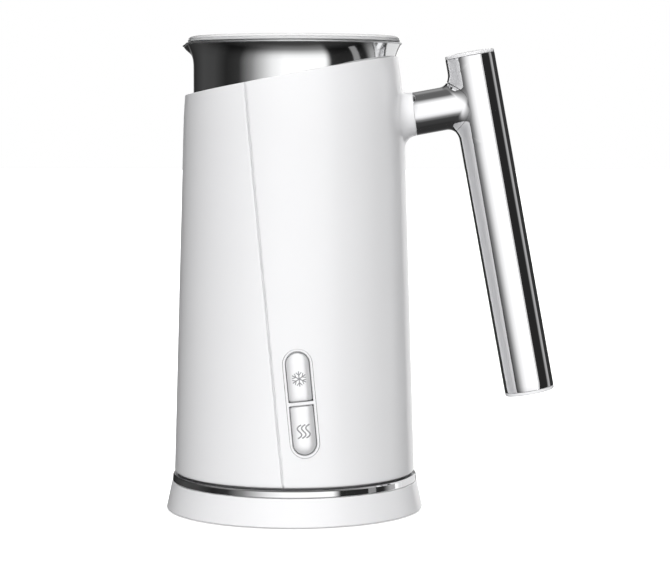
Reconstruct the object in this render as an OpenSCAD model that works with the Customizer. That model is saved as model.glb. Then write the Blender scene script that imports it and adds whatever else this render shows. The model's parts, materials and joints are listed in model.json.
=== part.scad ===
// Electric milk frother: a jug with a magnetically driven whisk, standing on a cordless power base.
// Millimetres, +Z up. The origin is on the jug's axis, at the surface that the base stands on.
// The handle points along +X, the pouring spout along -X and the buttons face -Y.

/* [Power base] */
// Radius of the base where it meets the table
base_foot_r = 55.4; // [55:0.1:56.4]
// Radius of the base just under the bright ring
base_top_r = 52.8; // [52.6:0.1:53.2]
// Height of the white base cover up to the bright ring
base_h = 12.2; // [12:0.1:12.5]
// Height of the bright ring
trim_h = 3.2; // [3:0.1:3.4]
// Radius of the cord that the inlet takes
cord_r = 3; // [2.6:0.1:3.1]

/* [Body] */
// Largest radius of the body, just above its bottom edge
body_r = 51.7; // [51.4:0.05:51.9]
// Height of the body's bottom edge
body_z = 16.3; // [16.2:0.1:16.7]
// Loss of radius for each millimetre of height
body_taper = 0.03; // [0.028:0.001:0.031]
// Height where the shoulder starts to curve in
shoulder_z = 165; // [163:1:168]
// Height of the slanted rim at the axis
rim_z = 186.1; // [185:0.1:187]
// Slope of the rim, and tilt of the handle, in degrees
slant = 10.4; // [10:0.1:10.8]
// Lean of the seam between the two shells, in degrees
seam_lean = 5.54; // [5:0.1:6]
// Wall thickness of the plastic covers
wall = 2.4; // [2.2:0.1:2.6]

/* [Steel jug] */
// Outer radius of the steel jug
jug_r = 42.9; // [42.7:0.1:43]
// Height of the jug's rim
jug_top = 199.9; // [199.5:0.1:200]
// Height of the jug's inner floor
jug_floor = 90; // [89.8:0.1:90.4]
// Sheet thickness of the steel
steel_t = 0.7; // [0.6:0.05:0.8]

/* [Lid] */
// Radius of the lid
lid_r = 45.2; // [44.8:0.1:45.6]
// Height of the top of the lid
lid_top = 202.6; // [202.4:0.1:203.2]

/* [Handle] */
// Radius of the grip tube
grip_r = 10.6; // [10.2:0.1:11]
// Length of the grip tube without its caps
grip_len = 144.9; // [138:0.1:146]
// Thickness of each end cap of the grip
cap_t = 1.9; // [1.5:0.1:2.2]
// Radius of the neck between the body and the grip
neck_r = 9.15; // [8.9:0.05:9.3]

/* [Buttons] */
// Width of the frame around the buttons
bezel_w = 12.5; // [12:0.1:13]
// Length of the frame around the buttons
bezel_len = 45.2; // [44.2:0.5:45.7]
// How far a button travels when it is pressed
press = 0.8; // [0.5:0.1:0.9]

/* [Whisk] */
// Radius of the whisk's coil, measured to the middle of its wire ring
whisk_r = 15.4; // [15.3:0.1:17]
// Radius of each drive magnet
magnet_r = 3.1; // [2.6:0.1:3.2]

/* [Hidden] */
$fn = 96;

WHITE = "whitesmoke";
CHROME = "silver";
STEEL = "lightgray";
DARK = "#3c3c3e";
RUBBER = "#2a2a2a";
BRASS = "goldenrod";
BOARD = "darkgreen";

gap = 0.3;              // clearance between pieces that move against each other
run_fit = 0.06;         // radial clearance of a shaft or pin in its bore
cut = 1;                // how far a cutting shape runs past the face that it cuts
screw_r = 1.2;          // shank radius of the small screws
screw_head_r = 2.8;
screw_head_h = 1.4;

// Base levels
foot_gap = 0.4;                         // the white cover hangs this far above the table
plate_z = 0.8;                          // underside of the base plate
plate_t = 2.6;
deck_z = base_h + trim_h - 0.4;         // top of the base, under the jug
trim_in_r = 50.1;                       // inner radius of the bright ring
deck_hole_r = 18.9;                     // the connector comes up through this hole
base_post_at = 38;                      // radius at which the base's screws stand
foot_ring_r = [44, 49];                 // inner and outer radius of the non-slip ring
foot_ring_h = 2.2;
inlet_z = 7.7;                          // height of the cord inlet's axis
gland_r = 3.8;
gland_in = 47.5;                        // inner end of the cord gland, along +Y
gland_out = 55;
gland_collar = [4.3, 1.2];              // radius and thickness of the gland's outer collar
flange_z = deck_z - wall - 2.4;         // underside of the base connector's flange
ring_foot_z = flange_z + 1.5;           // the ring contact starts this high in the connector

// Connector: a post and a tube on the base plug into the jug
tower_r = [13.6, 16];                   // inner and outer radius of the base's tube
tower_top = deck_z + 11;
post_r = 6;
post_top = deck_z + 13;
post_bore_r = 2.2;
pin_r = 1.1;
live_ring = [8.6, 9.6];                 // inner and outer radius of the base's ring contact
plug_gap = 0.5;
socket_z = deck_z + 0.6;                // underside of the jug's connector
socket_top = deck_z + 16;
socket_r = 20.1;

// Bottom cover of the jug
cover_z = deck_z + gap;
cover_t = 2.5;
cover_top = cover_z + cover_t;
cover_lip_top = 21.8;
body_post_at = 45.8;                    // radius at which the body's screw posts stand
body_post_r = 3.6;
body_post_angles = [45, 135, 225, 315];

// Body
edge_r = 0.8;                           // rounding of the body's bottom edge
shoulder_bend = 0.0025;                 // how fast the shoulder curves in
body_end = 199;                         // the body's outline runs past its rim
seam_x = -0.369;                        // X of the seam plane at the table
seam_w = 0.8;
seam_depth = 0.6;
band_z = 172;                           // above this height the wall is thick and meets the steel jug
jug_clear = 0.15;                       // between the steel jug and the body's thick rim

// Steel jug
flare_z = 190;                          // the wall starts to flare here
flare_bend = 0.0325;
jug_corner = 4;
jug_under = jug_floor - steel_t;

// Lid
lid_skirt_r = [39.8, 41.4];             // inner and outer radius of the lid's skirt
lid_skirt_z = 190.5;
seal_r = 41.9;
seal_z = [193, 196];

// Heater, studs and motor
stud_at = 18;
stud_r = 2;
stud_angles = [90, 210, 330];
heater_r = [14, 33];
heater_z = jug_under - 3.2;             // underside of the heater plate
element_at = 27;
element_r = 3.2;
element_gap = 32;                       // half angle of the gap in the heating ring, in degrees
terminal_z = 72;
bracket_z = 76;
bracket_t = 1.6;
motor_r = 12.2;
motor_z = 45;
motor_boss = [3.8, 2.2];                // radius and height of the motor's lower boss
shaft_r = 1;

// Drive rotor and whisk
rotor_r = 11.2;
rotor_z = 82;
rotor_top = jug_under - 1;
magnet_at = 6.8;
magnet_h = 3;
magnet_angles = [0, 90, 180, 270];
whisk_pin_r = 1.6;
whisk_pin_top = jug_floor + 15.5;
bush_r = 2.6;
bush_z = jug_floor + 1;
hub_z = bush_z + 1.3;
coil_wire_r = 2;

// Boards
board_t = 1.6;
power_board_z = 36;
power_board_r = 36.5;
power_post_at = 33;
power_post_angles = [20, 140, 260];

// Panel of buttons: its frame stands on the body's surface, leaning with the seam
panel_z = 51.2;
panel_azimuth = -83.8;
panel_lean = 5.3;
panel_proud = 0.35;                     // how far the frame stands out of the body
button_proud = 0.6;
bezel_rim = 1.3;
divider = 0.9;                          // half the width of the bar between the buttons
key_gap = 0.25;                         // between a key and its frame
board_depth = 12;                       // depth of the control board's back below the surface
board_post_v = 26.6;
switch_h = 3.5;
switch_v = 11;

// Handle
grip_at = [78.67, 0, 174.66];           // where the neck's axis meets the grip's
neck_from = -27.6;                      // the neck starts here, along its axis from the grip's
grip_up = 21.95 - cap_t;                // from that point to the top of the grip tube
grip_wall = 1.2;
bolt_r = 2.4;
bolt_gap = 0.2;                         // radial clearance of the handle bolt and its head
bolt_head = [4.6, 2.6];                 // radius and height of the handle bolt's head
bolt_from = -31.6;                      // underside of the bolt's head
bolt_to = 6;

// --- Functions and shared shapes ---

function base_r_at(z) = base_foot_r - (base_foot_r - base_top_r) * z / base_h;
function body_r_at(z) =
    body_r - body_taper * max(0, z - body_z - edge_r) - shoulder_bend * pow(max(0, z - shoulder_z), 2);
function jug_r_at(z) = jug_r + flare_bend * pow(max(0, z - flare_z), 2);

module ring(r_in, r_out, z0, z1) {
    rotate_extrude() translate([r_in, z0]) square([r_out - r_in, z1 - z0]);
}

module disc(r, z0, z1) {
    translate([0, 0, z0]) cylinder(r = r, h = z1 - z0);
}

module around(radius, angles) {
    for (a = angles) rotate([0, 0, a]) translate([radius, 0, 0]) children();
}

// A pan-head screw with a cross recess: its head's face is at z = 0 and its shank points up
module screw(head_r, head_h, shank_r, length) {
    slot = [head_r * 1.1, head_r * 0.28, head_h];
    difference() {
        union() {
            cylinder(r = head_r, h = head_h);
            cylinder(r = shank_r, h = length);
        }
        for (turn = [0, 90]) rotate([0, 0, turn]) cube(slot, center = true);
    }
}

// The body as a solid of revolution, grown by a small amount all over
module body_solid(grow = 0) {
    arc = [for (a = [-90:15:0])
        [body_r - edge_r + (edge_r + grow) * cos(a), body_z + edge_r + (edge_r + grow) * sin(a)]];
    side = [for (z = [shoulder_z:3:body_end]) [body_r_at(z) + grow, z]];
    rotate_extrude() polygon(concat([[0, body_z - grow]], arc, side, [[0, body_end]]));
}

// The space inside the shells: below band_z it follows the outer wall, above it the steel jug
module body_cavity() {
    top = body_end + 3;
    foot = [[0, body_z - cut], [body_r - wall, body_z - cut], [body_r - wall, body_z + edge_r]];
    side = [for (z = [shoulder_z, band_z]) [body_r_at(z) - wall, z]];
    band = [[jug_r + jug_clear, band_z], for (z = [flare_z:2:top]) [jug_r_at(z) + jug_clear, z]];
    rotate_extrude() polygon(concat(foot, side, band, [[0, top]]));
}

// Everything above the slanted rim
module above_rim() {
    size = 160;
    translate([0, 0, rim_z]) rotate([0, -slant, 0])
        translate([-size / 2, -size / 2, 0]) cube([size, size, size / 2]);
}

// Everything on the handle's side of the seam
module handle_half(shift = 0) {
    block = [120, 160, 230];
    translate([seam_x + shift, 0, 0]) rotate([0, -seam_lean, 0])
        translate([0, -block[1] / 2, -cut]) cube(block);
}

module seam_groove() {
    difference() {
        handle_half(-seam_w / 2);
        handle_half(seam_w / 2);
        body_solid(-seam_depth);
    }
}

module body_posts(angles) {
    around(body_post_at, angles) disc(body_post_r, cover_top + 0.3, 34);
}

module body_post_bores() {
    around(body_post_at, body_post_angles) disc(screw_r, cover_top - cut, 31);
}

module body_shell() {
    difference() {
        body_solid();
        body_cavity();
        above_rim();
    }
}

// Frames of reference: x across, y up and z out of the surface of the button panel
module on_panel() {
    lean_in = atan(body_taper);
    r = body_r_at(panel_z);
    translate([r * cos(panel_azimuth), r * sin(panel_azimuth), panel_z])
        rotate([0, 0, panel_azimuth + 90]) rotate([90 - lean_in, 0, 0]) rotate([0, 0, panel_lean])
            children();
}

// z runs along the neck, from the body towards the grip
module on_neck() {
    translate(grip_at) rotate([0, 90 - slant, 0]) children();
}

// z runs up the grip
module on_grip() {
    translate(grip_at) rotate([0, -slant, 0]) children();
}

// --- Power base ---

module base_cover() {
    deck_under = deck_z - wall;
    ledge_under = base_h - wall;
    color(WHITE) difference() {
        union() {
            rotate_extrude() polygon([
                [base_r_at(foot_gap) - wall, foot_gap], [base_r_at(foot_gap), foot_gap],
                [base_top_r, base_h], [trim_in_r, base_h], [trim_in_r, deck_z],
                [deck_hole_r, deck_z], [deck_hole_r, deck_under], [trim_in_r - wall, deck_under],
                [trim_in_r - wall, ledge_under], [base_r_at(ledge_under) - wall, ledge_under]
            ]);
            around(base_post_at, body_post_angles) disc(body_post_r, plate_z + plate_t, deck_under + 0.5);
        }
        around(base_post_at, body_post_angles) disc(screw_r, plate_z + plate_t - cut, deck_under - 1);
        translate([0, gland_in, inlet_z]) rotate([-90, 0, 0]) {
            cylinder(r = gland_r, h = 20);
            translate([0, 0, gland_out - gland_in - gland_collar[1]])
                cylinder(r = gland_collar[0] + 0.1, h = 20);
        }
    }
}

module base_trim_ring() {
    bevel = 0.5;
    color(CHROME) rotate_extrude() polygon([
        [trim_in_r, base_h], [base_top_r - 0.1, base_h], [base_top_r - 0.4, base_h + trim_h - bevel],
        [base_top_r - 0.9, base_h + trim_h], [trim_in_r, base_h + trim_h]
    ]);
}

module base_plate() {
    side_gap = 0.2;
    color(DARK) difference() {
        disc(base_r_at(plate_z + plate_t) - wall - 0.1, plate_z, plate_z + plate_t);
        ring(foot_ring_r[0] - side_gap, foot_ring_r[1] + side_gap, plate_z - cut, foot_ring_h);
        around(base_post_at, body_post_angles) {
            disc(screw_r + 0.3, 0, plate_z + plate_t + cut);
            disc(screw_head_r + 0.3, 0, plate_z + screw_head_h + 0.2);
        }
    }
}

module base_foot_ring() {
    color(RUBBER) ring(foot_ring_r[0], foot_ring_r[1], 0, foot_ring_h);
}

module base_screws() {
    color(STEEL) around(base_post_at, body_post_angles) translate([0, 0, plate_z + 0.2])
        screw(screw_head_r, screw_head_h, screw_r - 0.05, 9);
}

module base_connector() {
    flange_r = 22;
    color(DARK) difference() {
        rotate_extrude() polygon([
            [0, flange_z], [flange_r, flange_z], [flange_r, deck_z - wall],
            [deck_hole_r - 0.1, deck_z - wall], [deck_hole_r - 0.1, deck_z], [tower_r[1], deck_z],
            [tower_r[1], tower_top], [tower_r[0], tower_top], [tower_r[0], deck_z],
            [post_r, deck_z], [post_r, post_top], [post_bore_r, post_top],
            [post_bore_r, deck_z - 1], [0, deck_z - 1]
        ]);
        base_contacts();
    }
}

module base_contacts() {
    tab = [live_ring[1] - live_ring[0] - 0.2, 4, 4.6];
    color(BRASS) {
        ring(live_ring[0], live_ring[1], ring_foot_z, deck_z + 7.5);
        translate([live_ring[0] + 0.1, -tab[1] / 2, flange_z - tab[2]])
            cube([tab[0], tab[1], ring_foot_z - flange_z + tab[2] + 1]);
        disc(pin_r, flange_z - tab[2], deck_z + 10);
        translate([0, 0, deck_z + 10]) sphere(r = pin_r);
    }
}

module cord_gland() {
    length = gland_out - gland_in;
    color(DARK) translate([0, gland_in, inlet_z]) rotate([-90, 0, 0]) difference() {
        union() {
            cylinder(r = gland_r, h = length);
            disc(gland_collar[0], length - gland_collar[1], length);
        }
        disc(cord_r, -cut, length + cut);
    }
}

// Two leads under the deck, from beside the inlet to the contacts' tabs
module base_leads() {
    lead_r = 0.9;
    lead_end = 38;
    color("saddlebrown") for (x = [0, live_ring[0] + 0.5]) translate([x, 2.2, 6.8])
        rotate([-90, 0, 0]) cylinder(r = lead_r, h = lead_end - 2.2);
}

// --- Body shells ---

module housing_spout_side() {
    color(WHITE) difference() {
        union() {
            body_shell();
            body_posts([135, 225]);
        }
        handle_half();
        seam_groove();
        body_post_bores();
    }
}

// The flared root that carries the handle, around the neck's axis
module handle_root() {
    root = [[0, neck_from], [neck_r, neck_from], [neck_r + 0.45, neck_from - 2.6],
        [neck_r + 1.5, neck_from - 4.4], [neck_r + 4, neck_from - 6.2], [neck_r + 4, neck_from - 13],
        [0, neck_from - 13]];
    on_neck() rotate_extrude() polygon(root);
}

module housing_handle_side() {
    color(WHITE) difference() {
        union() {
            intersection() {
                body_shell();
                handle_half();
            }
            difference() {
                handle_root();
                body_cavity();
            }
            intersection() {
                body_posts([45, 315]);
                body_solid();
            }
            difference() {
                board_posts();
                beyond_the_wall();
            }
        }
        seam_groove();
        body_post_bores();
        on_panel() translate([0, 0, -wall * 3]) linear_extrude(wall * 5)
            capsule(bezel_w + 0.1, bezel_len + 0.1);
        board_post_bores();
        on_neck() {
            disc(bolt_r + bolt_gap, -45, 0);
            disc(bolt_head[0] + bolt_gap, bolt_from - 10, bolt_from);
        }
    }
}

// Posts for the control board, from the inside of the wall to the board's face
module board_posts() {
    post_r = 2.6;
    on_panel() for (v = [-board_post_v, board_post_v])
        translate([0, v, board_t - board_depth]) cylinder(r = post_r, h = board_depth - board_t - 0.8);
}

module board_post_bores() {
    on_panel() for (v = [-board_post_v, board_post_v])
        translate([0, v, -board_depth]) cylinder(r = 0.9, h = board_depth - 2.2);
}

// The space where no post may stand: the outer skin of the wall and everything outside it
module beyond_the_wall() {
    skin = 0.4;
    difference() {
        translate([0, 0, body_z]) cylinder(r = body_r + 10, h = 80);
        body_solid(-skin);
    }
}

module jug_bottom_cover() {
    lip_r = body_r - wall - 0.15;
    color(DARK) difference() {
        union() {
            rotate_extrude() polygon([
                [socket_r + 0.4, cover_z], [trim_in_r - 0.5, cover_z], [trim_in_r + 0.3, cover_z + 0.8],
                [trim_in_r + 0.3, body_z], [lip_r, body_z], [lip_r, cover_lip_top],
                [lip_r - 2, cover_lip_top], [lip_r - 2, cover_top], [socket_r + 0.4, cover_top]
            ]);
            around(power_post_at, power_post_angles) disc(3, cover_top - 0.5, power_board_z);
        }
        around(body_post_at, body_post_angles) {
            disc(body_post_r + 0.1, cover_top + 0.2, cover_lip_top + cut);
            disc(screw_r + 0.2, cover_z - cut, cover_top + cut);
            disc(screw_head_r + 0.3, cover_z - cut, cover_z + screw_head_h + 0.2);
        }
        around(power_post_at, power_post_angles) disc(1.1, cover_top + 4, power_board_z + cut);
    }
}

module bottom_cover_screws() {
    color(STEEL) around(body_post_at, body_post_angles) translate([0, 0, cover_z + 0.2])
        screw(screw_head_r, screw_head_h, screw_r - 0.05, 13);
}

// --- Cordless connector in the jug ---

module jug_connector() {
    flange = [22.4, cover_top + 0.6, 2];
    slot = [live_ring[0] - 0.4, live_ring[1] + 1.8];
    color(DARK) difference() {
        union() {
            rotate_extrude() polygon([
                [0, socket_top], [socket_r, socket_top], [socket_r, socket_z],
                [tower_r[1] + plug_gap, socket_z], [tower_r[1] + plug_gap, tower_top + 0.6],
                [tower_r[0] - plug_gap, tower_top + 0.6], [tower_r[0] - plug_gap, socket_z + 0.2],
                [post_r + plug_gap, socket_z + 0.2], [post_r + plug_gap, post_top + 0.6], [0, post_top + 0.6]
            ]);
            ring(socket_r - 1, flange[0], flange[1], flange[1] + flange[2]);
        }
        ring(slot[0], slot[1], socket_z - cut, deck_z + 9);
        jug_contacts();
    }
}

module jug_contacts() {
    ring_out = live_ring[1] + 1.8;
    tab = [1, 4, 12];
    color(BRASS) {
        ring(ring_out - 1, ring_out, deck_z + 2, deck_z + 9);
        translate([ring_out - 1, -tab[1] / 2, deck_z + 8]) cube(tab);
        ring(pin_r + gap, post_bore_r - gap, deck_z + 5, post_top + 0.6);
        disc(post_bore_r - gap, post_top + 0.6, socket_top + 2);
    }
}

// --- Steel jug ---

module jug_outline(grow) {
    flare = [for (z = [flare_z:1.1:jug_top]) [jug_r_at(z) + grow, z]];
    corner = [for (a = [-90:15:0]) [jug_r - jug_corner + (jug_corner + grow) * cos(a),
        jug_under + jug_corner + (jug_corner + grow) * sin(a)]];
    polygon(concat([[0, jug_under - grow]], corner, flare, [[jug_r_at(jug_top) + grow, jug_top],
        [0, jug_top]]));
}

// The pressed beak of the spout, shifted back for its inside
module beak(back) {
    tip = [-46.8, 0, 198.6];
    root = [-43, 0, 193.8];
    shoulder = [-44.5, 7.5, 199];
    nub = 0.45;
    translate([back, 0, 0]) hull() {
        translate(tip) sphere(r = nub, $fn = 16);
        translate(root) sphere(r = nub, $fn = 16);
        for (side = [-1, 1]) {
            translate([shoulder[0], side * shoulder[1], shoulder[2]]) sphere(r = nub, $fn = 16);
            translate([root[0] + 4, side * shoulder[1], shoulder[2]]) sphere(r = nub, $fn = 16);
        }
    }
}

module milk_jug() {
    color(STEEL) difference() {
        union() {
            rotate_extrude() jug_outline(0);
            beak(0);
        }
        difference() {
            union() {
                rotate_extrude() jug_outline(-steel_t);
                disc(jug_r_at(jug_top) - steel_t, jug_top - 0.1, jug_top + 5);
                translate([0, 0, 0.5]) beak(steel_t * 1.6);
            }
            disc(jug_r * 2, 0, jug_floor);
        }
    }
}

module jug_gasket() {
    gasket_z = [166, 171];
    color(RUBBER) ring(jug_r, body_r_at(gasket_z[1]) - wall - 0.1, gasket_z[0], gasket_z[1]);
}

module whisk_pin() {
    color(STEEL) {
        disc(6, jug_floor, jug_floor + 0.6);
        disc(whisk_pin_r, jug_floor, whisk_pin_top - whisk_pin_r / 2);
        translate([0, 0, whisk_pin_top - whisk_pin_r / 2])
            cylinder(r1 = whisk_pin_r, r2 = whisk_pin_r / 2, h = whisk_pin_r / 2);
    }
}

// --- Heater ---

module heater_plate() {
    color("gainsboro") difference() {
        ring(heater_r[0], heater_r[1], heater_z, jug_under);
        around(stud_at, stud_angles) disc(stud_r + 0.1, heater_z - cut, jug_under + cut);
    }
}

// A ring with a gap at +Y, flat where it meets the heater plate, with its two terminals
module heating_element() {
    tube_z = heater_z - element_r * 0.85;
    wedge = 60;
    color("dimgray") difference() {
        union() {
            difference() {
                rotate_extrude() translate([element_at, tube_z]) circle(r = element_r);
                linear_extrude(200) polygon([[0, 0],
                    [wedge * cos(90 - element_gap), wedge * sin(90 - element_gap)], [0, wedge * 1.5],
                    [wedge * cos(90 + element_gap), wedge * sin(90 + element_gap)]]);
            }
            for (side = [-1, 1]) rotate([0, 0, 90 + side * (element_gap + 4)])
                translate([element_at, 0, 0]) disc(1.5, terminal_z, tube_z);
        }
        disc(element_at * 2, heater_z, heater_z + 10);
    }
}

module thermal_cutout() {
    color("ivory") translate([0, element_at, 0]) {
        disc(5.4, heater_z - 6, heater_z);
        for (x = [-2.4, 2.4]) translate([x - 1.5, -0.4, heater_z - 12]) cube([3, 0.8, 6]);
    }
}

module temperature_sensor() {
    color(STEEL) rotate([0, 0, 200]) translate([36, 0, 0]) {
        disc(2.2, jug_under - 6, jug_under);
        disc(1, jug_under - 12, jug_under - 5);
    }
}

module mounting_studs() {
    color(STEEL) around(stud_at, stud_angles) disc(stud_r, bracket_z - 4, jug_under);
}

module stud_spacers() {
    color("gainsboro") around(stud_at, stud_angles)
        ring(stud_r + 0.1, stud_r + 1.3, bracket_z + bracket_t, heater_z);
}

module stud_nuts() {
    nut = [3.9, 3];
    color(STEEL) around(stud_at, stud_angles) difference() {
        translate([0, 0, bracket_z - nut[1]]) cylinder(r = nut[0], h = nut[1], $fn = 6);
        disc(stud_r + 0.05, bracket_z - nut[1] - cut, bracket_z + cut);
    }
}

// --- Motor and drive ---

module motor_bracket() {
    bracket_r = 23;
    color(STEEL) difference() {
        disc(bracket_r, bracket_z, bracket_z + bracket_t);
        disc(motor_boss[0] + 0.1, bracket_z - cut, bracket_z + bracket_t + cut);
        around(stud_at, stud_angles) disc(stud_r + 0.1, bracket_z - cut, bracket_z + bracket_t + cut);
        around(12, [30, 150, 270]) disc(1.6, bracket_z - cut, bracket_z + bracket_t + cut);
    }
}

module motor_can() {
    color("darkgray") difference() {
        union() {
            disc(motor_r, motor_z, bracket_z);
            disc(motor_boss[0], motor_z - motor_boss[1], bracket_z + bracket_t);
        }
        disc(shaft_r + run_fit, motor_z - motor_boss[1] - cut, bracket_z + bracket_t + cut);
    }
}

module motor_leads() {
    color("firebrick") for (x = [-9, 9]) translate([x, 0, 0]) disc(0.8, power_board_z + board_t, motor_z);
}

module motor_shaft() {
    color(STEEL) disc(shaft_r, motor_z - motor_boss[1] - 1, rotor_top - 1);
}

module drive_rotor() {
    hub_r = 3.4;
    color("darkslategray") difference() {
        union() {
            disc(rotor_r, rotor_z, rotor_top);
            disc(hub_r, bracket_z + bracket_t + 1.4, rotor_z + 1);
        }
        disc(shaft_r, bracket_z, rotor_top - 1);
        around(magnet_at, magnet_angles) disc(magnet_r, rotor_top - magnet_h, rotor_top + cut);
    }
}

module drive_magnets() {
    color("slategray") around(magnet_at, magnet_angles) disc(magnet_r, rotor_top - magnet_h, rotor_top);
}

// --- Power electronics ---

module power_board() {
    color(BOARD) difference() {
        disc(power_board_r, power_board_z, power_board_z + board_t);
        around(power_post_at, power_post_angles) disc(1.5, power_board_z - cut, power_board_z + 3);
    }
}

module power_board_screws() {
    head_h = 1.8;
    color(STEEL) around(power_post_at, power_post_angles)
        translate([0, 0, power_board_z + board_t + head_h]) rotate([180, 0, 0]) screw(2.6, head_h, 1, 10);
}

module on_power_board(x, y) {
    translate([x, y, power_board_z + board_t]) children();
}

module power_relay() {
    size = [12, 16, 13];
    color("royalblue") on_power_board(16, 2) cube(size);
}

module power_transformer() {
    core = [15, 18, 13];
    coil = [12, 12, 16];
    color("khaki") on_power_board(-31, -9) {
        cube(core);
        translate([1.5, 3, 0]) cube(coil);
    }
}

module power_capacitor() {
    color("midnightblue") on_power_board(0, 23) cylinder(r = 5, h = 15);
}

module terminal_block() {
    ways = 3;
    pitch = 5;
    color("seagreen") on_power_board(12, -24) difference() {
        cube([ways * pitch, 8, 9]);
        for (i = [0:ways - 1]) translate([(i + 0.5) * pitch, 4, 2]) cylinder(r = 1.5, h = 8);
    }
}

// Leads from the terminals of the heating ring down to the power board
module heater_leads() {
    color("white") for (side = [-1, 1]) rotate([0, 0, 90 + side * (element_gap + 4)])
        translate([element_at, 0, 0]) disc(1.2, power_board_z + board_t, terminal_z);
}

// --- Control board and buttons ---

module capsule(width, length) {
    square([width, length - width], center = true);
    for (side = [-1, 1]) translate([0, side * (length - width) / 2]) circle(d = width);
}

module control_board() {
    size = [15, 59, board_t];
    color(BOARD) on_panel() difference() {
        translate([-size[0] / 2, -size[1] / 2, -board_depth]) cube(size);
        for (v = [-board_post_v, board_post_v]) translate([0, v, -board_depth - cut])
            cylinder(r = 1.2, h = board_t + 2 * cut);
    }
}

module control_board_screws() {
    head_h = 1.2;
    color(STEEL) on_panel() for (v = [-board_post_v, board_post_v])
        translate([0, v, -board_depth - head_h]) screw(2, head_h, 0.85, 8);
}

module key_switches() {
    plunger = [1.7, 1];
    case = 6;
    color("#1c1c1c") on_panel() for (v = [-switch_v, switch_v])
        translate([0, v, board_t - board_depth]) {
            translate([-case / 2, -case / 2, 0]) cube([case, case, switch_h]);
            cylinder(r = plunger[0], h = switch_h + plunger[1]);
        }
}

// Flat cable from the foot of the control board to the power board
module ribbon_cable() {
    width = 9;
    reach = 6.2;
    t = 0.8;
    color("lightgray") on_panel() rotate([0, 90, 0]) translate([board_depth, -10, -width / 2])
        linear_extrude(width) polygon([
            [0, 0], [reach, 0], [reach, -2 * t], [reach - t, -2 * t], [reach - t, -t], [0, -t]
        ]);
}

module button_bezel() {
    length = bezel_len - 2 * bezel_rim;
    width = bezel_w - 2 * bezel_rim;
    color("#b9bbbe") intersection() {
        on_panel() difference() {
            translate([0, 0, -wall]) linear_extrude(wall * 3) capsule(bezel_w, bezel_len);
            translate([0, 0, -wall - cut]) linear_extrude(wall * 5) difference() {
                capsule(width, length);
                square([bezel_w, 2 * divider], center = true);
            }
        }
        body_solid(panel_proud);
    }
}

// One key: a cap inside the frame, a flange behind it and a stem over its switch.
// side is 1 for the upper key and -1 for the lower one.
module key(side) {
    width = bezel_w - 2 * (bezel_rim + key_gap);
    length = bezel_len - 2 * (bezel_rim + key_gap);
    inner_end = divider + gap;
    flange = [-wall - 1.6, -wall - 0.8];
    stem_end = board_t - board_depth + switch_h + 1 + press + gap;
    intersection() {
        on_panel() {
            intersection() {
                translate([0, 0, flange[0]]) linear_extrude(wall * 3) capsule(width, length);
                translate([-width, side > 0 ? inner_end : -length, flange[0]])
                    cube([2 * width, length - inner_end, wall * 4]);
            }
            translate([-width / 2 - 0.8, side > 0 ? inner_end : -length / 2 + 3, flange[0]])
                cube([width + 1.6, length / 2 - inner_end - 3, flange[1] - flange[0]]);
            translate([0, side * switch_v, stem_end]) cylinder(r = 2, h = flange[1] - stem_end);
        }
        body_solid(button_proud);
    }
}

module cold_button() {
    color(WHITE) key(1);
}

module heat_button() {
    color(WHITE) key(-1);
}

// --- Handle ---

module handle_neck() {
    color(CHROME) difference() {
        on_neck() translate([0, 0, neck_from]) cylinder(r = neck_r, h = -neck_from);
        on_grip() disc(grip_r, -50, 50);
        on_neck() {
            disc(bolt_r + bolt_gap, neck_from - cut, cut);
            disc(neck_r - 2, neck_from + 3, -grip_r - 3);
        }
    }
}

module handle_grip() {
    color(CHROME) difference() {
        on_grip() difference() {
            disc(grip_r, grip_up - grip_len, grip_up);
            disc(grip_r - grip_wall, grip_up - grip_len - cut, grip_up + cut);
        }
        on_neck() disc(bolt_r + bolt_gap, -20, 0);
    }
}

// A cap with a low dome: its plug sits in the tube
module grip_cap(plug) {
    dome = 0.5;
    color(WHITE) rotate_extrude() polygon([
        [0, -plug], [grip_r - grip_wall, -plug], [grip_r - grip_wall, 0], [grip_r, 0],
        [grip_r, cap_t - dome - 0.4], [grip_r - 0.5, cap_t - dome],
        [grip_r * 0.6, cap_t - 0.15], [0, cap_t]
    ]);
}

module grip_cap_top() {
    on_grip() translate([0, 0, grip_up]) grip_cap(5);
}

module grip_cap_bottom() {
    on_grip() translate([0, 0, grip_up - grip_len]) rotate([180, 0, 0]) grip_cap(5);
}

module grip_insert() {
    half = 12;
    color("gainsboro") difference() {
        on_grip() disc(grip_r - grip_wall, -half, half);
        on_neck() disc(bolt_r, -20, bolt_to + 0.5);
    }
}

module handle_bolt() {
    color(STEEL) on_neck() difference() {
        union() {
            disc(bolt_head[0], bolt_from - bolt_head[1], bolt_from);
            disc(bolt_r, bolt_from - 0.1, bolt_to);
        }
        translate([0, 0, bolt_from - bolt_head[1] - cut]) cylinder(r = 2, h = cut + 1.6, $fn = 6);
    }
}

// --- Lid ---

module lid() {
    under = jug_top + 0.4;
    well_r = 16;
    well_z = lid_top - 6.3;
    grip_bar = [2 * well_r + 1, 7];
    t = 1.6;
    color(WHITE) union() {
        rotate_extrude() polygon([
            [0, well_z - t], [well_r + t, well_z - t], [well_r + t, under], [lid_skirt_r[0], under],
            [lid_skirt_r[0], lid_skirt_z], [lid_skirt_r[1], lid_skirt_z], [lid_skirt_r[1], under],
            [lid_r, under],
            [lid_r, lid_top - 1.6], [lid_r - 1, lid_top - 0.3], [lid_r - 1.8, lid_top],
            [well_r, lid_top], [well_r, well_z], [0, well_z]
        ]);
        translate([-grip_bar[0] / 2, -grip_bar[1] / 2, well_z - 0.5])
            cube([grip_bar[0], grip_bar[1], lid_top - well_z + 0.2]);
    }
}

module lid_seal() {
    color("gainsboro") ring(lid_skirt_r[1], seal_r, seal_z[0], seal_z[1]);
}

// --- Whisk ---

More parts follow.
